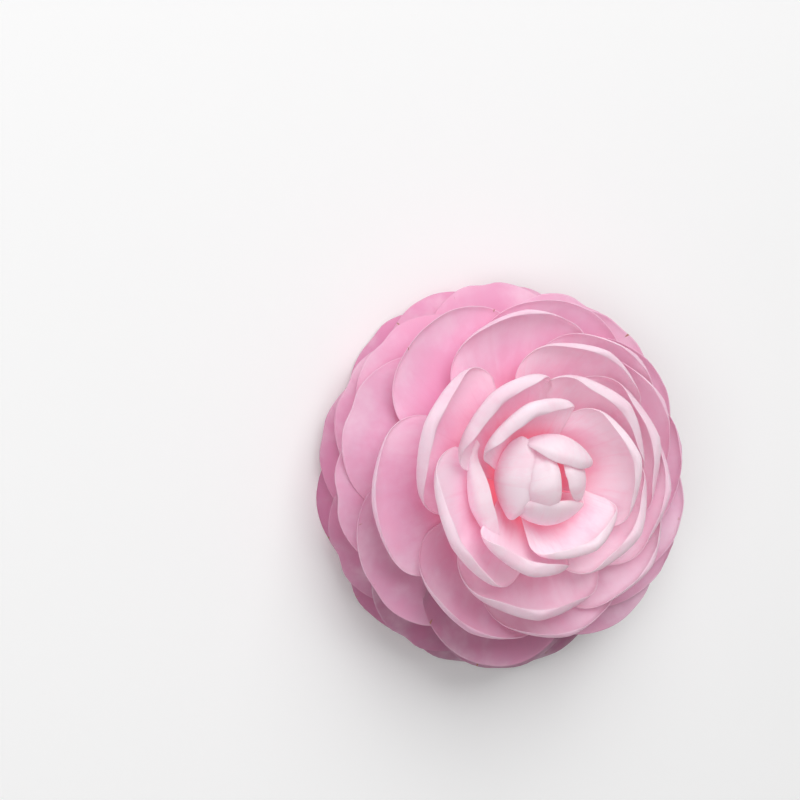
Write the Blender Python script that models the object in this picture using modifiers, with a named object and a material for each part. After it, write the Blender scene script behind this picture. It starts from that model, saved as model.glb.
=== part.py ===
"""Camellia flower, formal double, picked and resting face up on its reflexed guard petals.

Metres, +Z up. The flower's axis is Z, its face looks up, and Z = 0 is the surface it rests on.
Every petal is a blade laid on a shell of revolution of its own. The shells nest one in the next
and open from the closed heart to the guard petals, and their rims lie on one low dome.
"""

import math
import random

import bmesh
import bpy
import numpy as np

# Driving dimensions, in metres and degrees
DOME_RADIUS = 0.0500        # from the axis to the petals' rims, where the bloom is widest
DOME_TOP = 0.0480           # height of the dome over the surface
DOME_DROP = 0.0385          # from the top of the dome down to its widest place
CONE_TOP = (0.0016, 0.0155)     # radius and height where the innermost claw grows
CONE_FOOT = (0.0080, 0.0065)    # the same for the outermost claw
ROOT_PULL = 0.42            # handles of the curve along a petal, as shares of its chord
TIP_PULL = 0.34
PETAL_THICKNESS = 0.0007
SEPAL_THICKNESS = 0.0009
CLEARANCE = 0.0003          # between pieces that touch
STALK_RADIUS = 0.0022
STALK_END = 0.0010          # height of the cut end over the surface
PETAL_CELLS = (6, 4)        # grid cells across and along a petal
SEPAL_CELLS = (4, 3)

# How the petals follow each other, from the heart outwards
GOLDEN_ANGLE = 137.5
PETAL_ROWS = (              # node, number of petals, colour
    ("inner_petals", 11, (0.93, 0.66, 0.74)),
    ("middle_petals", 19, (0.87, 0.50, 0.65)),
    ("outer_petals", 28, (0.78, 0.34, 0.53)),
)
ROW_OPENING_STEP = 6        # degrees that each row opens wider than the one inside it
ROW_ROOT_STEP = 14          # claws' worth of bare cone between two rows
HEART_ROOT_STEP = 3         # the same between the heart and the inner row

# Azimuths of the petals nearest the heart, where the spiral is crowded out of step.
# Every later petal follows at the golden angle.
CROWDED_AZIMUTHS = (
    34, 208, 110, 346, 62, 136, 224, 2, 88, 308, 110, 160, 253, 58, 126, 12,
    144, 334, 190, 102, 282, 78, 128, 164, 68, 217, 46, 144, 354, 309, 156, 250,
    2, 228, 281, 54, 192, 329,
)
# Petals that open wider than their turn in the spiral, or less wide: order, degrees
LOOSER_PETALS = {4: 4, 5: 3, 7: 10, 8: 8, 10: 2, 11: -1, 12: -3, 31: -4, 34: -5}

# Hooded petals of the closed heart, from the outermost in: azimuth; radius and height of the
# tip; handle and angle of the shell's side at the claw, handle and angle at the tip; half
# width; how much lower the rim is on one side; keel
HEART_PETALS = (
    (290, (0.0168, 0.0365), (0.0140, 32, 0.0125, 135), 0.0160, 0.0020, 0.6),
    (270, (0.0046, 0.0408), (0.0125, 44, 0.0155, 163), 0.0120, 0.0025, 0.7),
    (170, (0.0042, 0.0446), (0.0145, 54, 0.0140, 160), 0.0105, 0.0005, 0.3),
    (288, (0.0004, 0.0442), (0.0140, 56, 0.0150, 162), 0.0120, 0.0035, 0.5),
    (352, (0.0042, 0.0420), (0.0135, 55, 0.0130, 158), 0.0120, 0.0000, 0.2),
    (108, (0.0012, 0.0440), (0.0145, 60, 0.0140, 160), 0.0070, -0.0010, 0.3),
)
HEART_ROLL = (0.0030, 35)   # width and angle of a hooded petal's rolled rim

# Outline and finish that all petals share
RIM_SWEEP = 105             # degrees of the round rim on each side of the tip
RIM_ROUNDNESS = 0.9         # 1 for a circular rim, less for a flatter one
CLAW_HALF_WIDTH = 0.0026
TIGHTEST_GIRTH = 0.0040     # least radius that a blade wraps round
ROLL_BEND = 0.0026          # radius at which a rim rolls inwards
FOLD_SOFTNESS = 0.0012      # radius of the crease along a keeled petal

# Calyx: overlapping sepals, the last ones the outermost
SEPALS = 8
SEPAL_TURN = 144            # from each sepal to the next one out
SEPAL_ROOT = (0.0030, 0.0030)
SEPAL_TIP = (0.0122, 0.0058)
SEPAL_STEP = (0.00045, 0.00008)     # how much shorter and lower each next sepal is
SEPAL_HALF_WIDTH = 0.0046
SEPAL_COLOUR = (0.36, 0.40, 0.17)
STALK_COLOUR = (0.40, 0.38, 0.20)
STALK_SIDES = 20


def ramp(value, *stops):
    """Value read from the straight lines through the (place, height) stops"""
    places, heights = zip(*stops)
    return float(np.interp(value, places, heights))


def mix(start, end, share):
    """A share of the way from start to end"""
    return start + (end - start) * share


def shell(root, tip, rise, bend, root_handle, tip_handle):
    """Arc lengths and (radius, height) points of a shell of revolution's side, a Bezier curve.

    It leaves its root at the angle rise and meets its tip at the angle bend, both measured
    from the horizontal. The handles are the lengths of the curve's two handles.
    """
    root = np.array(root)
    tip = np.array(tip)
    rise = math.radians(rise)
    bend = math.radians(bend)
    near = root + root_handle * np.array((math.cos(rise), math.sin(rise)))
    far = tip - tip_handle * np.array((math.cos(bend), math.sin(bend)))
    t = np.linspace(0, 1, 300)[:, None]
    points = (1 - t)**3 * root + 3 * (1 - t)**2 * t * near + 3 * (1 - t) * t**2 * far + t**3 * tip
    steps = np.linalg.norm(np.diff(points, axis=0), axis=1)
    return np.concatenate(([0], np.cumsum(steps))), points


def petal_shell(opening, root_share, hood):
    """Shell of a petal whose rim opens this far from the axis, as seen from inside the dome"""
    root = mix(np.array(CONE_TOP), np.array(CONE_FOOT), root_share)
    angle = math.radians(opening)
    tip = (DOME_RADIUS * math.sin(angle), DOME_TOP - DOME_DROP * (1 - math.cos(angle)))
    rise = ramp(opening, (20, 68), (25, 70), (45, 58), (65, 46), (85, 32), (106, 4))
    bend = hood + ramp(
        opening, (20, 120), (25, 108), (40, 92), (50, 78),
        (60, 60), (70, 38), (80, 5), (90, -28), (100, -55), (108, -75))
    chord = math.dist(root, tip)
    return shell(root, tip, rise, bend, chord * ROOT_PULL, chord * TIP_PULL)


class Blade:
    """A petal or sepal: the shell it lies on, its azimuth, its half width and its finish"""

    def __init__(self, azimuth, side_shell, half_width, **finish):
        self.azimuth = azimuth
        self.lengths, self.points = side_shell
        self.half_width = half_width
        self.claw = finish.get("claw", CLAW_HALF_WIDTH)
        self.roll_width = finish.get("roll_width", 0)    # of the rim that rolls inwards
        self.roll = math.radians(finish.get("roll", 0))  # most that it turns
        self.slant = finish.get("slant", 0)          # how much lower the rim is on one side
        self.keel = finish.get("keel", 0)            # 0 for a round back, 1 for a folded one
        self.notch = finish.get("notch", 0)          # depth of the nick in the tip
        self.wave = finish.get("wave", 0)            # height of the waves along the rim
        self.wave_start = finish.get("wave_start", 0)
        self.lean = finish.get("lean", 0)            # how far the tip leans sideways
        self.twist = finish.get("twist", 0)          # rise of one side over the other

    def along_shell(self, distance, axis):
        """Radius (axis 0) or height (axis 1) of the shell at a distance from the root"""
        return np.interp(distance, self.lengths, self.points[:, axis])

    def surface(self, across, along):
        """Points of its middle surface: across runs -1 to 1, along 0 at the claw to 1 at the rim"""
        length = self.lengths[-1]
        width = self.half_width
        height = 1 - (1 - along)**1.35      # rows of the grid draw together towards the rim

        # Outline: a narrow claw that widens into a round blade
        fan = np.radians(RIM_SWEEP) * across
        nick = self.notch * np.exp(-(across / 0.1)**2)
        rim_up = length - width * RIM_ROUNDNESS * (1 - np.cos(fan)) - nick - self.slant * across
        sideways = mix(self.claw * across, width * np.sin(fan), height)
        upwards = np.clip(rim_up * height, 0, length)

        # Place on the shell, and the shell's slope there
        radius = self.along_shell(upwards, 0)
        level = self.along_shell(upwards, 1)
        ahead = np.clip(upwards + length / 150, 0, length)
        behind = np.clip(upwards - length / 150, 0, length)
        slope = np.arctan2(
            self.along_shell(ahead, 1) - self.along_shell(behind, 1),
            self.along_shell(ahead, 0) - self.along_shell(behind, 0),
        )

        # The back is as round as the shell's girth there, then folded into the keel
        girth = np.sin(slope) / np.maximum(radius, TIGHTEST_GIRTH)
        girth = np.where(np.abs(girth) < 0.01, 0.01, girth)
        side = np.sin(girth * sideways) / girth
        lift = (1 - np.cos(girth * sideways)) / girth
        fold_at = 0.62 * width
        folded = np.hypot(sideways, FOLD_SOFTNESS) - FOLD_SOFTNESS
        folded = folded / (math.hypot(fold_at, FOLD_SOFTNESS) - FOLD_SOFTNESS)
        folded = folded * (1 - np.cos(girth * fold_at)) / girth
        lift = mix(lift, folded, self.keel * np.clip((height - 0.35) / 0.5, 0, 1))

        # The rim rolls inwards in a crescent: round the bend, then straight on
        crescent = self.roll_width * (1 - across**2)**0.8
        past = np.clip(crescent - (1 - height) * length, 0, None)
        bent = np.minimum(past / ROLL_BEND, self.roll)
        straight = past - ROLL_BEND * bent
        inwards = ROLL_BEND * (1 - np.cos(bent)) + straight * np.sin(bent)
        back = past - ROLL_BEND * np.sin(bent) - straight * np.cos(bent)
        wave = self.wave * np.sin(3.2 * math.pi * across + self.wave_start) * height**4
        lift = lift + inwards + wave + self.twist * across * height**1.5
        side = side - back * np.sin(fan) + self.lean * height**2

        radius = radius - np.sin(slope) * lift - np.cos(slope) * back * np.cos(fan)
        level = level + np.cos(slope) * lift - np.sin(slope) * back * np.cos(fan)
        turn = math.radians(self.azimuth)
        return np.stack((
            radius * math.cos(turn) - side * math.sin(turn),
            radius * math.sin(turn) + side * math.cos(turn),
            level,
        ), axis=-1)


def spiral_petals():
    """The petals of each row, placed by the spiral, with a seeded draw for their finish"""
    draw = random.Random(7)
    total = sum(count for name, count, colour in PETAL_ROWS)
    last_root = HEART_ROOT_STEP + total - 1 + ROW_ROOT_STEP * (len(PETAL_ROWS) - 1)
    rows = {}
    order = 0
    azimuth = 0
    for row, (name, count, colour) in enumerate(PETAL_ROWS):
        rows[name] = []
        for _ in range(count):
            if order < len(CROWDED_AZIMUTHS):
                azimuth = CROWDED_AZIMUTHS[order]
            else:
                azimuth = azimuth + GOLDEN_ANGLE
            opening = ROW_OPENING_STEP * row + LOOSER_PETALS.get(order, 0) + ramp(
                order, (0, 21.5), (2, 27), (26, 68), (34, 75), (total - 3, 94))
            root_share = (HEART_ROOT_STEP + order + ROW_ROOT_STEP * row) / last_root
            half_width = ramp(
                opening, (25, 0.0125), (40, 0.0155), (60, 0.0185), (85, 0.0195), (105, 0.019))
            roll_width = ramp(
                opening, (25, 0.0060), (40, 0.0052), (55, 0.0042), (70, 0.0022), (90, 0))
            wave = ramp(opening, (50, 0), (80, 0.0002), (100, 0.0006))
            rows[name].append(Blade(
                azimuth + draw.uniform(-3, 3),
                petal_shell(opening, root_share, draw.uniform(-2, 2)),
                half_width * draw.uniform(0.95, 1.06),
                roll_width=roll_width * draw.uniform(0.7, 1.2),
                roll=ramp(opening, (25, 75), (50, 70), (80, 40)),
                keel=ramp(opening, (25, 0.6), (55, 0.5), (75, 0.15), (90, 0)),
                notch=draw.uniform(0.0002, 0.0010),
                wave=wave * draw.uniform(0.4, 1),
                wave_start=draw.uniform(0, 6),
                lean=draw.uniform(-0.0015, 0.0015),
                twist=draw.uniform(-0.0003, 0.0003),
            ))
            order += 1
    return rows


def heart_petals():
    """The hooded petals that close the heart"""
    roll_width, roll = HEART_ROLL
    petals = []
    for azimuth, tip, side, half_width, slant, keel in HEART_PETALS:
        root_handle, rise, tip_handle, bend = side
        petals.append(Blade(
            azimuth, shell(CONE_TOP, tip, rise, bend, root_handle, tip_handle), half_width,
            roll_width=roll_width, roll=roll, slant=slant, keel=keel, notch=0.0003,
        ))
    return petals


def calyx_sepals():
    """The sepals, each one further out a little shorter and lower"""
    shorter, lower = SEPAL_STEP
    sepals = []
    for number in range(SEPALS):
        root = (SEPAL_ROOT[0], SEPAL_ROOT[1] - lower * number)
        tip = (SEPAL_TIP[0] - shorter * number, SEPAL_TIP[1] - lower * number * 1.5)
        chord = math.dist(root, tip)
        sepals.append(Blade(
            SEPAL_TURN * number,
            shell(root, tip, 26, 4, 0.4 * chord, 0.35 * chord),
            SEPAL_HALF_WIDTH * (1 - 0.04 * number),
            claw=0.0026,
        ))
    return sepals


def make_material(name, colour, roughness):
    """Principled material with nothing metallic in it"""
    material = bpy.data.materials.new(name)
    material.use_nodes = True
    shader = material.node_tree.nodes["Principled BSDF"]
    shader.inputs["Base Color"].default_value = (*colour, 1)
    shader.inputs["Roughness"].default_value = roughness
    shader.inputs["Metallic"].default_value = 0
    return material


def lay_blade(name, blade, cells, thickness, home):
    """Solid of a blade: a grid laid on its surface, cut into triangles and given its thickness"""
    bm = bmesh.new()
    bmesh.ops.create_grid(bm, x_segments=cells[0], y_segments=cells[1], size=1)
    across = np.array([vert.co.x for vert in bm.verts])
    along = np.array([(vert.co.y + 1) / 2 for vert in bm.verts])
    for vert, point in zip(bm.verts, blade.surface(across, along)):
        vert.co = point
    bmesh.ops.triangulate(bm, faces=bm.faces)
    mesh = bpy.data.meshes.new(name)
    bm.to_mesh(mesh)
    bm.free()
    solid = bpy.data.objects.new(name, mesh)
    home.objects.link(solid)
    solidify = solid.modifiers.new("thickness", "SOLIDIFY")
    solidify.thickness = thickness
    solidify.offset = 0
    return solid


def applied_mesh(thing):
    """Mesh of an object with its modifiers applied"""
    graph = bpy.context.evaluated_depsgraph_get()
    return bpy.data.meshes.new_from_object(thing.evaluated_get(graph))


def keep_largest_shell(mesh):
    """Fill the hollows that fusing sealed and drop loose scraps: only the outer shell stays"""
    bm = bmesh.new()
    bm.from_mesh(mesh)
    waiting = set(bm.faces)
    shells = []
    while waiting:
        found = [waiting.pop()]
        for face in found:
            for edge in face.edges:
                beside = waiting.intersection(edge.link_faces)
                waiting -= beside
                found.extend(beside)
        shells.append(found)
    shells.sort(key=len)
    for scrap in shells[:-1]:
        bmesh.ops.delete(bm, geom=scrap, context="FACES")
    bm.to_mesh(mesh)
    bm.free()


def fuse_blades(name, blades, cells, thickness, material, home):
    """One node of blades joined where their claws overlap, resting no lower than Z = 0"""
    loose = bpy.data.collections.new(name + "_loose")
    bpy.context.scene.collection.children.link(loose)
    body = lay_blade(name, blades[0], cells, thickness, home)
    for number, blade in enumerate(blades[1:]):
        lay_blade(f"{name}_{number}", blade, cells, thickness, loose)
    union = body.modifiers.new("union", "BOOLEAN")
    union.operation = "UNION"
    union.operand_type = "COLLECTION"
    union.collection = loose
    trim = body.modifiers.new("rest", "BOOLEAN")
    trim.operation = "DIFFERENCE"
    trim.object = bpy.data.objects["surface"]
    mesh = applied_mesh(body)
    for thing in [body, *loose.objects]:
        bpy.data.objects.remove(thing)
    bpy.data.collections.remove(loose)
    keep_largest_shell(mesh)
    mesh.name = name
    mesh.materials.clear()
    mesh.materials.append(material)
    home.objects.link(bpy.data.objects.new(name, mesh))


def add_surface():
    """Cutter that stands for what the flower rests on, so the guard petals' tips lie flat on it"""
    cutters = bpy.data.collections.new("cutters")
    bpy.context.scene.collection.children.link(cutters)
    bm = bmesh.new()
    bmesh.ops.create_cube(bm, size=1)
    for vert in bm.verts:
        vert.co = vert.co * 0.2
        vert.co.z -= 0.1
    mesh = bpy.data.meshes.new("surface")
    bm.to_mesh(mesh)
    bm.free()
    surface = bpy.data.objects.new("surface", mesh)
    surface.hide_render = True
    surface.display_type = "WIRE"
    cutters.objects.link(surface)


def add_stalk(home):
    """Cut stalk that swells into the cone the petals grow on, turned about Z"""
    seat = CLEARANCE + PETAL_THICKNESS / 2      # the cone lies this far under the claws' roots
    slant = math.hypot(CONE_FOOT[0] - CONE_TOP[0], CONE_TOP[1] - CONE_FOOT[1])
    inwards = seat * (CONE_TOP[1] - CONE_FOOT[1]) / slant
    downwards = seat * (CONE_FOOT[0] - CONE_TOP[0]) / slant
    foot = (CONE_FOOT[0] - inwards, CONE_FOOT[1] - downwards)
    top = (CONE_TOP[0] - inwards, CONE_TOP[1] - downwards)
    shoulder = SEPAL_ROOT[1] + SEPAL_THICKNESS / 2 + CLEARANCE
    profile = (
        (0, top[1] + 0.0003),
        (top[0] * 0.7, top[1] + 0.0002),
        top,
        foot,
        (foot[0] - 0.0010, foot[1] - 0.0005),
        (STALK_RADIUS + 0.0018, shoulder + 0.0005),
        (STALK_RADIUS, shoulder),
        (STALK_RADIUS * 0.92, STALK_END + 0.0008),
        (STALK_RADIUS * 0.95, STALK_END),
        (0, STALK_END),
    )
    bm = bmesh.new()
    corners = [bm.verts.new((radius, 0, height)) for radius, height in profile]
    for upper, under in zip(corners, corners[1:]):
        bm.edges.new((upper, under))
    mesh = bpy.data.meshes.new("stalk")
    bm.to_mesh(mesh)
    bm.free()
    mesh.materials.append(make_material("stalk", STALK_COLOUR, 0.7))
    stalk = bpy.data.objects.new("stalk", mesh)
    home.objects.link(stalk)
    screw = stalk.modifiers.new("turn", "SCREW")
    screw.steps = STALK_SIDES
    screw.render_steps = STALK_SIDES
    screw.use_merge_vertices = True
    screw.merge_threshold = 0.00001


def main():
    for thing in list(bpy.data.objects):
        bpy.data.objects.remove(thing)
    flower = bpy.data.collections.new("camellia_flower")
    bpy.context.scene.collection.children.link(flower)
    add_surface()
    rows = spiral_petals()
    rows["inner_petals"] += heart_petals()
    for name, count, colour in PETAL_ROWS:
        material = make_material(name, colour, 0.5)
        fuse_blades(name, rows[name], PETAL_CELLS, PETAL_THICKNESS, material, flower)
    material = make_material("calyx", SEPAL_COLOUR, 0.65)
    fuse_blades("calyx", calyx_sepals(), SEPAL_CELLS, SEPAL_THICKNESS, material, flower)
    add_stalk(flower)


main()
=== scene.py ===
# Camellia bloom, picked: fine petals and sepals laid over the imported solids, and a finish for the stalk.
import math
import random

import bmesh
import bpy
import numpy as np
from mathutils import Matrix, Vector


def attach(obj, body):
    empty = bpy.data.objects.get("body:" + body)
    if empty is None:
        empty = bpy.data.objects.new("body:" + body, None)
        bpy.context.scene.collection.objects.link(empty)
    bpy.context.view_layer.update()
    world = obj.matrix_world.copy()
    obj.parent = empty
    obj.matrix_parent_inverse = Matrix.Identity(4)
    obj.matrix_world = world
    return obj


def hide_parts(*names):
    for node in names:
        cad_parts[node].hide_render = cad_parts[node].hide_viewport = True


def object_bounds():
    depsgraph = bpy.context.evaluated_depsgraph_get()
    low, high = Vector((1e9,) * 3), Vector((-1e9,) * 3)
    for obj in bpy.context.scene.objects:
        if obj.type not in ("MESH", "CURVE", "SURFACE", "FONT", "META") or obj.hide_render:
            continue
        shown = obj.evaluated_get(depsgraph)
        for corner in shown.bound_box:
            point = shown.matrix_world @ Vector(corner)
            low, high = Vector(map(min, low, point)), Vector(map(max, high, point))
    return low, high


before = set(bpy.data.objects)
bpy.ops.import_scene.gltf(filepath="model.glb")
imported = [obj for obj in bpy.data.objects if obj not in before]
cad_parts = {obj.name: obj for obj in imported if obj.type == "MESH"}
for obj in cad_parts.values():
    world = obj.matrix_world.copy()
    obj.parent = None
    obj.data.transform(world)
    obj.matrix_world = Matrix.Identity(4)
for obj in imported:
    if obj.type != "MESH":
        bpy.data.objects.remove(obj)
cadLow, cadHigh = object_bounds()
bloomHeight = 43.51  # in millimetres, as is every size below but the studio's
mm = (cadHigh.z - cadLow.z) / bloomHeight
print("frame:", ", ".join(sorted(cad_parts)))


def ramp(value, *stops):
    places, heights = zip(*stops)
    return float(np.interp(value, places, heights))


def mixOf(start, end, share):
    return start + (end - start) * share


blade = {  # how any petal or sepal is shaped on the shell that it lies on
    "shellSteps": 300,  # points on the shell's side
    "slopeParts": 150,  # a slope is read over one such part of the length to each side
    "tipCrowding": 1.35,  # above 1 puts more of the cells near the rim
    "rimSweep": 105,  # degrees of round rim on each side of the tip
    "rimRoundness": 0.9,
    "claw": 2.6,
    "notchWidth": 0.1,  # share of the half width
    "peakWidth": 0.34,
    "tightestGirth": 4.0,  # the least radius that a back is rounded to
    "flattest": 0.00001,  # keeps a flat back from dividing by zero
    "foldPlace": 0.62,  # share of the half width where a keeled back is as high as a round one
    "foldSoftness": 0.7,
    "keelFoot": 0.35,  # a keel starts this far up, and takes this much more to be whole
    "keelFade": 0.5,
    "rollTaper": 0.8,
    "rollBend": 2.6,  # radius of a rolled rim
    "waves": 3.2,
    "waveRise": 4,  # higher brings the wave, and the twist, in nearer the rim
    "twistRise": 1.5,
    "thickness": 0.7,
    "rimThickness": 0.22,  # share of the thickness left at the rim
    "sideThinning": 4,  # higher keeps the thinning closer to the sides, and to the tip
    "tipThinning": 7,
    "toneStep": 0.618,  # gives each blade a tone unlike its neighbours'
}


def shellOf(root, tip, rise, bend, rootHandle, tipHandle):  # side of a shell of revolution
    root = np.array(root, float)
    tip = np.array(tip, float)
    near = root + rootHandle * np.array((math.cos(math.radians(rise)), math.sin(math.radians(rise))))
    far = tip - tipHandle * np.array((math.cos(math.radians(bend)), math.sin(math.radians(bend))))
    t = np.linspace(0, 1, blade["shellSteps"])[:, None]
    points = (1 - t)**3 * root + 3 * (1 - t)**2 * t * near + 3 * (1 - t) * t**2 * far + t**3 * tip
    steps = np.linalg.norm(np.diff(points, axis=0), axis=1)
    return np.concatenate(([0], np.cumsum(steps))), points


def heightOf(along):
    return 1 - (1 - along)**blade["tipCrowding"]


def foldedLift(sideways, width, girth):  # a soft crease down the middle instead of a round back
    softness = blade["foldSoftness"]
    foldAt = blade["foldPlace"] * width
    share = (np.hypot(sideways, softness) - softness) / (math.hypot(foldAt, softness) - softness)
    return share * (1 - np.cos(girth * foldAt)) / girth


def bladeSurface(petal, across, along):  # across -1 to 1, along 0 at the claw to 1 at the rim
    lengths, points = petal["shell"]
    length = lengths[-1]
    width = petal["halfWidth"]
    height = heightOf(along)

    def onShell(distance, axis):
        return np.interp(distance, lengths, points[:, axis])

    fan = np.radians(blade["rimSweep"]) * across  # outline
    notch = petal["notch"] * np.exp(-(across / blade["notchWidth"])**2)
    peak = petal["peak"] * np.clip(1 - np.abs(across) / blade["peakWidth"], 0, None)
    rimUp = length - width * blade["rimRoundness"] * (1 - np.cos(fan))
    rimUp = rimUp - notch + peak - petal["slant"] * across
    sideways = mixOf(petal["claw"] * across, width * np.sin(fan), height)
    upwards = np.clip(rimUp * height, 0, length)

    radius = onShell(upwards, 0)
    level = onShell(upwards, 1)
    ahead = np.clip(upwards + length / blade["slopeParts"], 0, length)
    behind = np.clip(upwards - length / blade["slopeParts"], 0, length)
    slope = np.arctan2(onShell(ahead, 1) - onShell(behind, 1), onShell(ahead, 0) - onShell(behind, 0))

    girth = np.sin(slope) / np.maximum(radius, blade["tightestGirth"])  # round the back, then fold the keel
    girth = np.where(np.abs(girth) < blade["flattest"], blade["flattest"], girth)
    side = np.sin(girth * sideways) / girth
    lift = (1 - np.cos(girth * sideways)) / girth
    keel = petal["keel"] * np.clip((height - blade["keelFoot"]) / blade["keelFade"], 0, 1)
    lift = mixOf(lift, foldedLift(sideways, width, girth), keel)

    rollWidth = petal["rollWidth"] * (1 - across**2)**blade["rollTaper"]  # roll the rim inwards
    past = np.clip(rollWidth - (1 - height) * length, 0, None)
    bent = np.minimum(past / blade["rollBend"], math.radians(petal["roll"]))
    straight = past - blade["rollBend"] * bent
    roll = blade["rollBend"] * (1 - np.cos(bent)) + straight * np.sin(bent)
    back = past - blade["rollBend"] * np.sin(bent) - straight * np.cos(bent)
    wave = petal["wave"] * np.sin(blade["waves"] * math.pi * across + petal["waveStart"])
    wave = wave * height**blade["waveRise"]
    lift = lift + roll + wave + petal["twist"] * across * height**blade["twistRise"]
    side = side - back * np.sin(fan) + petal["lean"] * height**2

    radius = radius - np.sin(slope) * lift - np.cos(slope) * back * np.cos(fan)
    level = level + np.cos(slope) * lift - np.sin(slope) * back * np.cos(fan)
    level = np.maximum(level, petal["floor"])  # the guard petals' tips lie on the surface
    turn = math.radians(petal["azimuth"])
    return np.stack((
        radius * math.cos(turn) - side * math.sin(turn),
        radius * math.sin(turn) + side * math.cos(turn),
        level,
    ), axis=-1)


def bladeOf(azimuth, shell, halfWidth, **shape):
    petal = {
        "azimuth": azimuth, "shell": shell, "halfWidth": halfWidth, "claw": blade["claw"],
        "openness": 0, "ripeness": 0, "roll": 0, "rollWidth": 0, "keel": 0, "notch": 0, "peak": 0,
        "slant": 0, "wave": 0, "waveStart": 0, "lean": 0, "twist": 0,
        "floor": blade["thickness"] * blade["rimThickness"] / 2,
    }
    petal.update(shape)
    return petal


def layBlades(name, blades, cells, thickness, rimThickness):  # one mesh of fine blades
    bm = bmesh.new()
    uvLayer = bm.loops.layers.uv.new("blade")
    wallLayer = bm.verts.layers.deform.verify()
    keys = ("openness", "ripeness", "tone", "across", "along")
    layers = {key: bm.verts.layers.float.new(key) for key in keys}
    for number, petal in enumerate(blades):
        verts = bmesh.ops.create_grid(bm, x_segments=cells[0], y_segments=cells[1], size=1)["verts"]
        across = np.array([vert.co.x for vert in verts])
        along = np.array([(vert.co.y + 1) / 2 for vert in verts])
        places = bladeSurface(petal, across, along)
        for vert, place, u, v in zip(verts, places, across, heightOf(along)):
            vert.co = place * mm
            vert[layers["openness"]] = petal["openness"]
            vert[layers["ripeness"]] = petal["ripeness"]
            vert[layers["tone"]] = (number * blade["toneStep"]) % 1
            vert[layers["across"]] = u
            vert[layers["along"]] = v
            edge = max(abs(u)**blade["sideThinning"], v**blade["tipThinning"])
            vert[wallLayer][0] = 1 - (1 - rimThickness) * edge
            for loop in vert.link_loops:
                loop[uvLayer].uv = ((u + 1) / 2, v)
    mesh = bpy.data.meshes.new(name)
    bm.to_mesh(mesh)
    bm.free()
    mesh.shade_smooth()
    piece = bpy.data.objects.new(name, mesh)
    bpy.context.scene.collection.objects.link(piece)
    piece.vertex_groups.new(name="wall")
    wall = piece.modifiers.new("wall", "SOLIDIFY")
    wall.thickness = thickness * mm
    wall.offset = 0
    wall.vertex_group = "wall"
    return piece


bloom = {  # where each petal grows and how far it opens
    "domeRadius": 50.0,  # the rims lie on a dome: reach from the axis
    "domeTop": 48.0,
    "domeDrop": 38.5,  # from its top to its widest place
    "coneTop": (1.6, 15.5),  # radius and height of the innermost claw's root
    "coneFoot": (8.0, 6.5),
    "rootPull": 0.42,  # handles of the curve along a petal, as shares of its chord
    "tipPull": 0.34,
    # slope of a petal at its root, and at its tip: opening, degrees
    "rise": ((20, 68), (25, 70), (45, 58), (65, 46), (85, 32), (106, 4)),
    "bend": (
        (20, 120), (25, 108), (40, 92), (50, 78),
        (60, 60), (70, 38), (80, 5), (90, -28), (100, -55), (108, -75),
    ),
    "goldenAngle": 137.5,
    "rows": (("inner", 11), ("middle", 19), ("outer", 28)),
    "rowOpeningStep": 6,  # degrees between rows
    "rowRootStep": 14,  # claws' worth of bare cone between rows
    "heartRootStep": 3,
    "crowded": (
        34, 208, 110, 346, 62, 136, 224, 2, 88, 308, 110, 160, 253, 58, 126, 12,
        144, 334, 190, 102, 282, 78, 128, 164, 68, 217, 46, 144, 354, 309, 156, 250,
        2, 228, 281, 54, 192, 329,
    ),
    "openings": ((0, 21.5), (2, 27), (26, 68), (34, 75), (55, 94)),  # order from the heart out, degrees
    # petals that open wider than their turn, or less wide: order, degrees
    "looser": {4: 4, 5: 3, 7: 10, 8: 8, 10: 2, 11: -1, 12: -3, 31: -4, 34: -5},
    "budOpening": 10,  # the openings that the openness from 0 to 1 stands for
    "openingSpan": 96,
    # by opening in degrees: millimetres, but degrees for the roll and a share for the keel
    "halfWidth": ((25, 12.5), (40, 15.5), (60, 18.5), (85, 19.5), (105, 19)),
    "rollWidth": ((25, 6.0), (40, 5.2), (55, 4.2), (70, 2.2), (90, 0)),
    "roll": ((25, 75), (50, 70), (80, 40)),
    "keel": ((25, 0.6), (55, 0.5), (75, 0.15), (90, 0)),
    "notch": ((60, 0), (85, 1.3)),
    "peak": ((25, 1.5), (60, 1.1), (80, 0)),
    "wave": ((50, 0), (80, 0.2), (100, 0.6)),
    # soft petals lie wider than the stiff solids, two below the heart less so, and roll their rims less
    "spread": {"inner": 1.22, "middle": 1.10, "outer": 1.03},
    "tucked": {0: 0.86, 3: 0.80},
    "soften": 0.82,
    "chance": {
        "azimuth": (-3, 3), "hood": (-2, 2), "halfWidth": (0.95, 1.06), "rollWidth": (0.7, 1.2),
        "notch": (0.2, 1.0), "wave": (0.4, 1), "waveStart": (0, 6),
        "lean": (-1.5, 1.5), "twist": (-0.3, 0.3),
    },
    "seed": 7,
    "cells": {"inner": (44, 40), "middle": (40, 36), "outer": (38, 34)},
    "paintedShadeAzimuth": 2,  # painted shade: the side whose guard petals are darkened to mauve in place of the shade they lie in
    "paintedShadeByOpenness": ((0.3, 0), (0.85, 1)),  # openness, share of the painted shade
    "heartRoll": 35,
    "heartNotch": 0.3,
}

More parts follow.
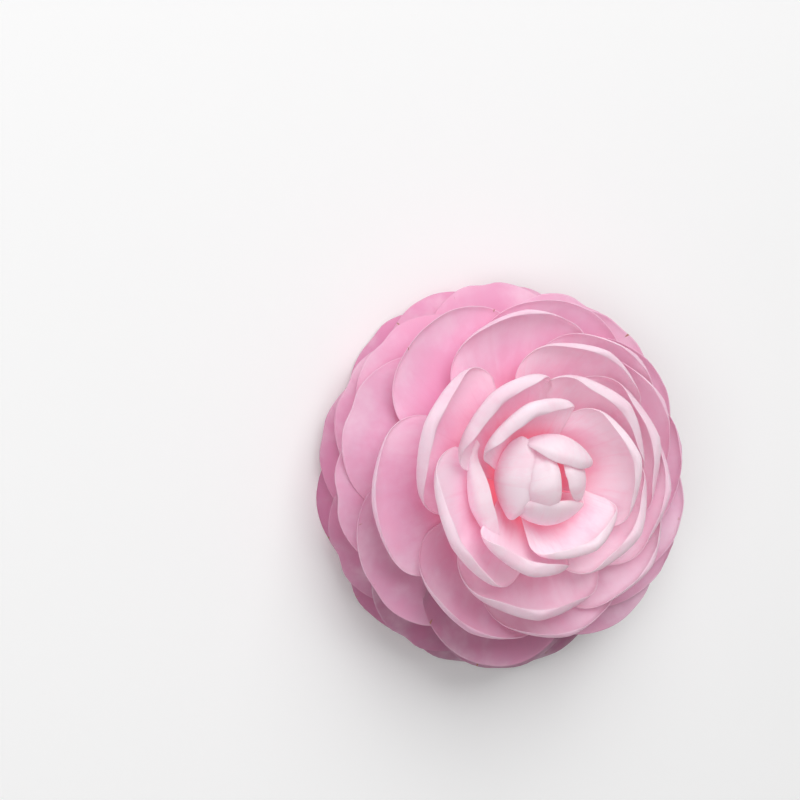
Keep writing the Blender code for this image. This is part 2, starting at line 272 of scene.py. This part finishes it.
# The folded bud, outermost first. A tip is its radius and height, and a belly the length and the
# slope of the curve's handle at the root, then at the tip.
heart = (
    {
        "azimuth": 293, "tip": (16.8, 36.5), "belly": (14.0, 32, 12.5, 135), "halfWidth": 18.0,
        "slant": 2.0, "keel": 0.6, "rollWidth": 5.0,
    },
    {
        "azimuth": 270, "tip": (4.6, 40.8), "belly": (12.5, 44, 15.5, 163), "halfWidth": 12.0,
        "slant": 2.5, "keel": 0.7, "rollWidth": 3.0,
    },
    {
        "azimuth": 170, "tip": (4.2, 44.6), "belly": (14.5, 54, 14.0, 160), "halfWidth": 10.5,
        "slant": 0.5, "keel": 0.3, "rollWidth": 3.0,
    },
    {
        "azimuth": 288, "tip": (0.4, 44.2), "belly": (14.0, 56, 15.0, 162), "halfWidth": 12.0,
        "slant": 3.5, "keel": 0.5, "rollWidth": 3.0,
    },
    {
        "azimuth": 2, "tip": (4.4, 41.8), "belly": (13.5, 55, 13.0, 158), "halfWidth": 14.0,
        "slant": 0.0, "keel": 0.2, "rollWidth": 2.0,
    },
    {
        "azimuth": 108, "tip": (1.2, 44.0), "belly": (14.5, 60, 14.0, 160), "halfWidth": 7.0,
        "slant": -1.0, "keel": 0.3, "rollWidth": 3.0,
    },
)


def petalShell(opening, rootShare, hood):
    root = mixOf(np.array(bloom["coneTop"]), np.array(bloom["coneFoot"]), rootShare)
    angle = math.radians(opening)
    tip = (
        bloom["domeRadius"] * math.sin(angle),
        bloom["domeTop"] - bloom["domeDrop"] * (1 - math.cos(angle)),
    )
    rise = ramp(opening, *bloom["rise"])
    bend = hood + ramp(opening, *bloom["bend"])
    chord = math.dist(root, tip)
    return shellOf(root, tip, rise, bend, chord * bloom["rootPull"], chord * bloom["tipPull"])


# painted shade: the open petals on one side get a share of a darker mauve, standing in for shade
def paintedShadeOf(azimuth, openness):
    paintedShadeSide = 0.5 + 0.5 * math.cos(math.radians(azimuth - bloom["paintedShadeAzimuth"]))
    return ramp(openness, *bloom["paintedShadeByOpenness"]) * paintedShadeSide**2


def heartPetal(azimuth, tip, belly, halfWidth, **shape):
    rootHandle, rise, tipHandle, bend = belly
    shell = shellOf(bloom["coneTop"], tip, rise, bend, rootHandle, tipHandle)
    return bladeOf(azimuth, shell, halfWidth, notch=bloom["heartNotch"], roll=bloom["heartRoll"], **shape)


def spiralPetals():  # every row, from the heart out
    draw = random.Random(bloom["seed"])

    def chance(key):
        return draw.uniform(*bloom["chance"][key])

    total = sum(count for name, count in bloom["rows"])
    lastRoot = bloom["heartRootStep"] + total - 1 + bloom["rowRootStep"] * (len(bloom["rows"]) - 1)
    rows = {}
    order = 0
    turn = 0
    for row, (name, count) in enumerate(bloom["rows"]):
        rows[name] = []
        for _ in range(count):
            crowded = order < len(bloom["crowded"])
            turn = bloom["crowded"][order] if crowded else turn + bloom["goldenAngle"]
            azimuth = turn + chance("azimuth")
            opening = ramp(order, *bloom["openings"]) + bloom["rowOpeningStep"] * row
            opening = opening + bloom["looser"].get(order, 0)
            openness = (opening - bloom["budOpening"]) / bloom["openingSpan"]
            rootShare = (bloom["heartRootStep"] + order + bloom["rowRootStep"] * row) / lastRoot
            shell = petalShell(opening, rootShare, chance("hood"))
            halfWidth = ramp(opening, *bloom["halfWidth"]) * chance("halfWidth")
            halfWidth = halfWidth * bloom["spread"][name] * bloom["tucked"].get(order, 1)
            rows[name].append(bladeOf(
                azimuth, shell, halfWidth,
                openness=openness,
                ripeness=paintedShadeOf(azimuth, openness),
                rollWidth=ramp(opening, *bloom["rollWidth"]) * chance("rollWidth"),
                roll=ramp(opening, *bloom["roll"]) * bloom["soften"],
                keel=ramp(opening, *bloom["keel"]),
                notch=ramp(opening, *bloom["notch"]) * chance("notch"),
                peak=ramp(opening, *bloom["peak"]),
                wave=ramp(opening, *bloom["wave"]) * chance("wave"),
                waveStart=chance("waveStart"),
                lean=chance("lean"),
                twist=chance("twist"),
            ))
            order += 1
    rows["inner"] += [heartPetal(**shape) for shape in heart]
    return rows


class Wire:  # a socket that takes part in sums
    def __init__(self, finish, socket):
        self.finish = finish
        self.socket = socket

    def combine(self, operation, first, second):
        return self.finish.add("ShaderNodeMath", {"operation": operation}, {0: first, 1: second})

    def __add__(self, other):
        return self.combine("ADD", self, other)

    def __radd__(self, other):
        return self.combine("ADD", other, self)

    def __sub__(self, other):
        return self.combine("SUBTRACT", self, other)

    def __rsub__(self, other):
        return self.combine("SUBTRACT", other, self)

    def __mul__(self, other):
        return self.combine("MULTIPLY", self, other)

    def __rmul__(self, other):
        return self.combine("MULTIPLY", other, self)

    def __pow__(self, other):
        return self.combine("POWER", self, other)

    def __rpow__(self, other):
        return self.combine("POWER", other, self)


shaderSockets = {
    "colour": "Base Color", "roughness": "Roughness", "shine": "Specular IOR Level", "normal": "Normal",
    "glow": "Subsurface Weight", "glowReach": "Subsurface Radius", "glowScale": "Subsurface Scale",
    "light": "Emission Color", "lightStrength": "Emission Strength",
    "sheen": "Sheen Weight", "sheenRoughness": "Sheen Roughness",
}


class Finish:  # one material and the nodes in it
    def __init__(self, name):
        self.material = bpy.data.materials.new(name)
        self.material.use_nodes = True
        self.tree = self.material.node_tree
        self.shader = self.tree.nodes["Principled BSDF"]

    def add(self, kind, settings=None, inputs=None, output=0):
        node = self.tree.nodes.new(kind)
        for key, value in (settings or {}).items():
            if key == "stops":
                self.setStops(node.color_ramp, value)
            else:
                setattr(node, key, value)
        for key, value in (inputs or {}).items():
            self.feed(node.inputs[key], value)
        return Wire(self, node.outputs[output])

    def feed(self, socket, value):
        if isinstance(value, Wire):
            self.tree.links.new(value.socket, socket)
        else:
            socket.default_value = value

    def setStops(self, colorRamp, stops):
        while len(colorRamp.elements) < len(stops):
            colorRamp.elements.new(1)
        for element, (place, colour) in zip(colorRamp.elements, stops):
            element.position = place
            element.color = colour

    def attribute(self, name):
        return self.add("ShaderNodeAttribute", {"attribute_name": name}, output="Fac")

    def blend(self, share, first, second):
        return self.add(
            "ShaderNodeMix", {"data_type": "RGBA", "clamp_factor": True},
            {0: share, 6: first, 7: second}, output=2)

    def between(self, value, lowHigh):  # 0 below the first, 1 above the second, smooth between
        return self.add(
            "ShaderNodeMapRange", {"interpolation_type": "SMOOTHSTEP"},
            {"Value": value, "From Min": lowHigh[0], "From Max": lowHigh[1]})

    def noise(self, vector, scale, detail, roughness):
        return self.add(
            "ShaderNodeTexNoise", None,
            {"Vector": vector, "Scale": scale, "Detail": detail, "Roughness": roughness})

    def bladeNoise(self, scales, detail, roughness):  # scales across, along and from blade to blade
        vector = self.add("ShaderNodeCombineXYZ", None, {
            0: self.attribute("across") * scales[0],
            1: self.attribute("along") * scales[1],
            2: self.attribute("tone") * scales[2],
        })
        return self.noise(vector, 1.0, detail, roughness)

    def bump(self, height, strength, depth):
        return self.add(
            "ShaderNodeBump", None, {"Height": height, "Strength": strength, "Distance": depth * mm})

    def set(self, **values):
        for key, value in values.items():
            self.feed(self.shader.inputs[shaderSockets[key]], value)


petalSkin = {  # reaches run from 0 at the claw to 1 at the rim, or from the middle line to the sides
    "tops": (  # by openness
        (0.0, (0.93, 0.81, 0.87, 1)), (0.22, (0.93, 0.63, 0.76, 1)),
        (0.58, (0.88, 0.38, 0.62, 1)), (0.92, (0.70, 0.125, 0.345, 1)),
    ),
    "toneSpread": 0.10,
    "rim": (0.97, 0.85, 0.93, 1),
    "paleSides": (0.25, 1.0),
    "paleTip": (0.40, 0.95),
    "paleness": (0.74, 0.58),  # at openness 0, and what openness 1 takes off
    "ripe": (0.33, 0.09, 0.19, 1),  # painted shade: the guard petals darken to mauve on one side, standing in for the shade they lie in
    "paintedShadeMost": 0.9,
    "flush": (0.88, 0.33, 0.46, 1),
    "flushReach": (0.22, 0.78),
    "flushFade": 0.6,
    "throat": (0.80, 0.20, 0.26, 1),  # deep coral at the claws
    "throatReach": (0.16, 0.66),
    "throatFade": 0.7,
    "veins": (0.74, 0.20, 0.40, 1),
    "veinNoise": {"scales": (16, 1.6, 60), "detail": 4.0, "roughness": 0.62},
    "veinRange": (0.48, 0.78),
    "veinShare": 0.25,
    "veinFade": 3,  # higher lets the veins run nearer the rim
    "mottleNoise": {"scales": (2.2, 2.6, 90), "detail": 4.0, "roughness": 0.6},
    "cloudRange": (0.40, 0.75),  # of the rim's paler pink
    "cloudShare": 0.35,
    "blush": (0.80, 0.26, 0.44, 1),
    "blushRange": (0.30, 0.55),
    "blushShare": 0.22,
    "bruise": (0.42, 0.20, 0.13, 1),  # small brown nicks on the oldest rims
    "bruiseNoise": {"scales": (21, 5, 130), "detail": 1.0, "roughness": 0.5},
    "bruiseRange": (0.72, 0.76),
    "bruiseReach": (0.955, 0.985),
    "bruiseAge": (0.45, 0.6),
    "relief": (0.25, 0.12),  # strength, millimetres
    "mottleRelief": 2,  # height of the mottle against the veins'
    "paintedThroughGlow": 0.095,  # painted glow: emission standing in for daylight that comes through the petals, which lifts their shade
    "throughFade": 0.4,
    "paintedThroatGlow": 0.24,  # and more painted glow on down to the claws, lifting the shade there
    "dark": (0, 0, 0, 1),
    "roughness": 0.5,
    "shine": 0.35,
    "glow": 0.3,
    "glowReach": (1.0, 0.6, 0.65),
    "glowDepth": 3.0,
}


def petalFinish():
    skin = petalSkin
    finish = Finish("petal")
    along = finish.attribute("along")
    across = finish.attribute("across")
    openness = finish.attribute("openness")
    tone = finish.attribute("tone")
    ripeness = finish.attribute("ripeness")

    top = finish.add(
        "ShaderNodeValToRGB", {"stops": skin["tops"]}, {0: openness + (tone - 0.5) * skin["toneSpread"]})
    sideShare = finish.between(across * across, skin["paleSides"])
    tipShare = finish.between(along, skin["paleTip"])
    paleness = skin["paleness"][0] - openness * skin["paleness"][1]
    colour = finish.blend((tipShare + sideShare - tipShare * sideShare) * paleness, top, skin["rim"])
    # painted shade: mauve on the guard petals of one side
    colour = finish.blend(ripeness * skin["paintedShadeMost"], colour, skin["ripe"])
    flushShare = (1 - finish.between(along, skin["flushReach"])) * (1 - openness * skin["flushFade"])
    colour = finish.blend(flushShare, colour, skin["flush"])
    throatShare = (1 - finish.between(along, skin["throatReach"])) * (1 - openness * skin["throatFade"])
    colour = finish.blend(throatShare, colour, skin["throat"])

    strands = finish.bladeNoise(**skin["veinNoise"])
    veinShare = finish.between(strands, skin["veinRange"]) * skin["veinShare"]
    colour = finish.blend(veinShare * (1 - along**skin["veinFade"]), colour, skin["veins"])
    mottle = finish.bladeNoise(**skin["mottleNoise"])
    cloudShare = finish.between(mottle, skin["cloudRange"]) * skin["cloudShare"]
    colour = finish.blend(cloudShare, colour, skin["rim"])
    blushShare = (1 - finish.between(mottle, skin["blushRange"])) * skin["blushShare"]
    colour = finish.blend(blushShare, colour, skin["blush"])
    specks = finish.bladeNoise(**skin["bruiseNoise"])
    bruiseShare = finish.between(specks, skin["bruiseRange"]) * finish.between(along, skin["bruiseReach"])
    bruiseShare = bruiseShare * finish.between(openness, skin["bruiseAge"])
    colour = finish.blend(bruiseShare, colour, skin["bruise"])

    # painted glow in the emission, left off where the painted shade lies
    paintedGlowShare = skin["paintedThroughGlow"] * (1 - openness * skin["throughFade"]) * (1 - ripeness)
    lightShare = paintedGlowShare + skin["paintedThroatGlow"] * throatShare
    lightColour = finish.blend(throatShare, skin["flush"], skin["throat"])
    finish.set(
        colour=colour, roughness=skin["roughness"], shine=skin["shine"],
        normal=finish.bump(strands + mottle * skin["mottleRelief"], *skin["relief"]),
        light=finish.blend(lightShare, skin["dark"], lightColour), lightStrength=1,
        glow=skin["glow"], glowReach=skin["glowReach"], glowScale=skin["glowDepth"] * mm)
    return finish.material


petalMaterial = petalFinish()
for name, blades in spiralPetals().items():
    piece = layBlades(
        name + "Petals", blades, bloom["cells"][name], blade["thickness"], blade["rimThickness"])
    piece.data.materials.append(petalMaterial)
    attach(piece, "root")
    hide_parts(name + "_petals")
    name + "_petal"
    print(name, "petals:", len(blades))

calyx = {
    "count": 8,
    "turn": 144,
    "root": (3.0, 3.0),  # radius and height
    "tip": (12.2, 5.8),
    "halfWidth": 4.6,
    "shorter": 0.45,  # what each sepal loses on the one before
    "lowerRoot": 0.08,
    "lowerTip": 0.12,
    "narrower": 0.04,
    "rise": 26,
    "bend": 4,
    "rootPull": 0.4,
    "tipPull": 0.35,
    "thickness": 0.9,
    "rimThickness": 0.5,
    "cells": (24, 20),
    "streakNoise": {"scales": (9, 2, 40), "detail": 4.0, "roughness": 0.6},
    "streakRange": (0.35, 0.7),
    "green": (0.30, 0.36, 0.11, 1),
    "olive": (0.42, 0.42, 0.20, 1),
    "dry": (0.34, 0.20, 0.10, 1),
    "dryReach": (0.8, 1.0),
    "dryShare": 0.7,
    "relief": (0.4, 0.1),
    "roughness": 0.65,
    "sheen": 0.3,
    "sheenRoughness": 0.5,
}


def sepalBlades():
    sepals = []
    for number in range(calyx["count"]):
        rootRadius, rootHeight = calyx["root"]
        tipRadius, tipHeight = calyx["tip"]
        root = (rootRadius, rootHeight - calyx["lowerRoot"] * number)
        tip = (tipRadius - calyx["shorter"] * number, tipHeight - calyx["lowerTip"] * number)
        halfWidth = calyx["halfWidth"] * (1 - calyx["narrower"] * number)
        chord = math.dist(root, tip)
        shell = shellOf(
            root, tip, calyx["rise"], calyx["bend"], calyx["rootPull"] * chord, calyx["tipPull"] * chord)
        sepals.append(bladeOf(calyx["turn"] * number, shell, halfWidth))
    return sepals


def sepalFinish():
    finish = Finish("sepal")
    streaks = finish.bladeNoise(**calyx["streakNoise"])
    colour = finish.blend(finish.between(streaks, calyx["streakRange"]), calyx["green"], calyx["olive"])
    dryShare = finish.between(finish.attribute("along"), calyx["dryReach"]) * calyx["dryShare"]
    colour = finish.blend(dryShare, colour, calyx["dry"])
    finish.set(
        colour=colour, roughness=calyx["roughness"], normal=finish.bump(streaks, *calyx["relief"]),
        sheen=calyx["sheen"], sheenRoughness=calyx["sheenRoughness"])
    return finish.material


sepals = layBlades("sepals", sepalBlades(), calyx["cells"], calyx["thickness"], calyx["rimThickness"])
sepals.data.materials.append(sepalFinish())
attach(sepals, "root")
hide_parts("calyx")
print("sepals:", calyx["count"])

stalkSkin = {
    "fibreNoise": {"scale": 900, "detail": 3.0, "roughness": 0.6},
    "barkRange": (0.35, 0.7),
    "bark": (0.33, 0.31, 0.14, 1),
    "oldBark": (0.42, 0.30, 0.17, 1),
    "flesh": (0.80, 0.82, 0.60, 1),  # of the cone, above the bark
    "paleFlesh": (0.88, 0.86, 0.72, 1),
    "fleshHeights": (5.2, 6.2),
    "relief": (0.5, 0.1),
    "roughness": 0.7,
}


def stalkFinish():
    finish = Finish("stalk")
    place = finish.add("ShaderNodeTexCoord", output="Object")
    height = finish.add("ShaderNodeSeparateXYZ", None, {0: place}, output="Z")
    fibres = finish.noise(place, **stalkSkin["fibreNoise"])
    barkShare = finish.between(fibres, stalkSkin["barkRange"])
    bark = finish.blend(barkShare, stalkSkin["bark"], stalkSkin["oldBark"])
    flesh = finish.blend(fibres, stalkSkin["flesh"], stalkSkin["paleFlesh"])
    fleshShare = finish.between(height, [level * mm for level in stalkSkin["fleshHeights"]])
    finish.set(
        colour=finish.blend(fleshShare, bark, flesh), roughness=stalkSkin["roughness"],
        normal=finish.bump(fibres, *stalkSkin["relief"]))
    return finish.material


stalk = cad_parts["stalk"]
stalk.data.materials.clear()
stalk.data.materials.append(stalkFinish())
print("stalk done")

studio = {  # in metres and watts
    "floor": (0.95, 0.95, 0.95, 1),
    "floorLight": 0.07,  # what a lit sweep adds under the shadow
    "floorRoughness": 0.8,
    "floorSide": 4.0,
    "floorGap": 0.0001,
    "sky": 0.25,
    "keyPlace": (-1.0, -0.05, 1.1),
    "keySize": 1.4,
    "keyPower": 17.0,
    "fillPlace": (0.15, -0.9, 1.2),
    "fillSize": 0.9,
    "fillPower": 5.5,
}


def addFloor():
    bm = bmesh.new()
    bmesh.ops.create_grid(bm, x_segments=1, y_segments=1, size=studio["floorSide"] / 2)
    bmesh.ops.translate(bm, verts=bm.verts, vec=(0, 0, cadLow.z - studio["floorGap"]))
    mesh = bpy.data.meshes.new("floor")
    bm.to_mesh(mesh)
    bm.free()
    floor = bpy.data.objects.new("floor", mesh)
    bpy.context.scene.collection.objects.link(floor)
    finish = Finish("floorPaper")
    finish.set(
        colour=studio["floor"], roughness=studio["floorRoughness"],
        light=studio["floor"], lightStrength=studio["floorLight"])
    mesh.materials.append(finish.material)


def addLamp(name):
    lamp = bpy.data.lights.new(name, "AREA")
    lamp.size = studio[name + "Size"]
    lamp.energy = studio[name + "Power"]
    holder = bpy.data.objects.new(name, lamp)
    bpy.context.scene.collection.objects.link(holder)
    holder.location = studio[name + "Place"]
    aim = Vector((0, 0, cadHigh.z / 2)) - holder.location
    holder.rotation_euler = aim.to_track_quat("-Z", "Y").to_euler()


def addSky():
    sky = bpy.data.worlds.new("sky")
    sky.use_nodes = True
    background = sky.node_tree.nodes["Background"]
    background.inputs["Color"].default_value = (1, 1, 1, 1)
    background.inputs["Strength"].default_value = studio["sky"]
    bpy.context.scene.world = sky
    bpy.context.scene.view_settings.view_transform = "Standard"


addFloor()
addLamp("key")
addLamp("fill")
addSky()
print("studio done")

camera = {
    "tilt": 24,  # degrees between the flower's axis and the line of sight
    "roll": -4,
    "distance": 0.55,  # metres
    "frameWidth": 195.0,  # across the frame at the heart's height
    "heartPlace": (0.2075, -0.10375),  # right and up of the frame's middle, in frame widths
    "heartHeight": 44.0,
}


def addCamera():
    tilt = math.radians(camera["tilt"])
    roll = math.radians(camera["roll"])
    back = Vector((0, -math.sin(tilt), math.cos(tilt)))
    level = Vector((0, math.cos(tilt), math.sin(tilt)))  # the frame's right before the roll
    upward = Vector((-1, 0, 0))
    right = math.cos(roll) * level - math.sin(roll) * upward
    up = math.sin(roll) * level + math.cos(roll) * upward
    width = camera["frameWidth"] * mm
    heartRight, heartUp = camera["heartPlace"]
    middle = Vector((0, 0, camera["heartHeight"] * mm)) - right * width * heartRight - up * width * heartUp
    place = middle + back * camera["distance"]
    lens = bpy.data.cameras.new("camera")
    lens.lens = lens.sensor_width * camera["distance"] / width
    holder = bpy.data.objects.new("camera", lens)
    bpy.context.scene.collection.objects.link(holder)
    holder.matrix_world = Matrix((
        (right.x, up.x, back.x, place.x),
        (right.y, up.y, back.y, place.y),
        (right.z, up.z, back.z, place.z),
        (0, 0, 0, 1),
    ))
    bpy.context.scene.camera = holder


addCamera()
print("camera done")
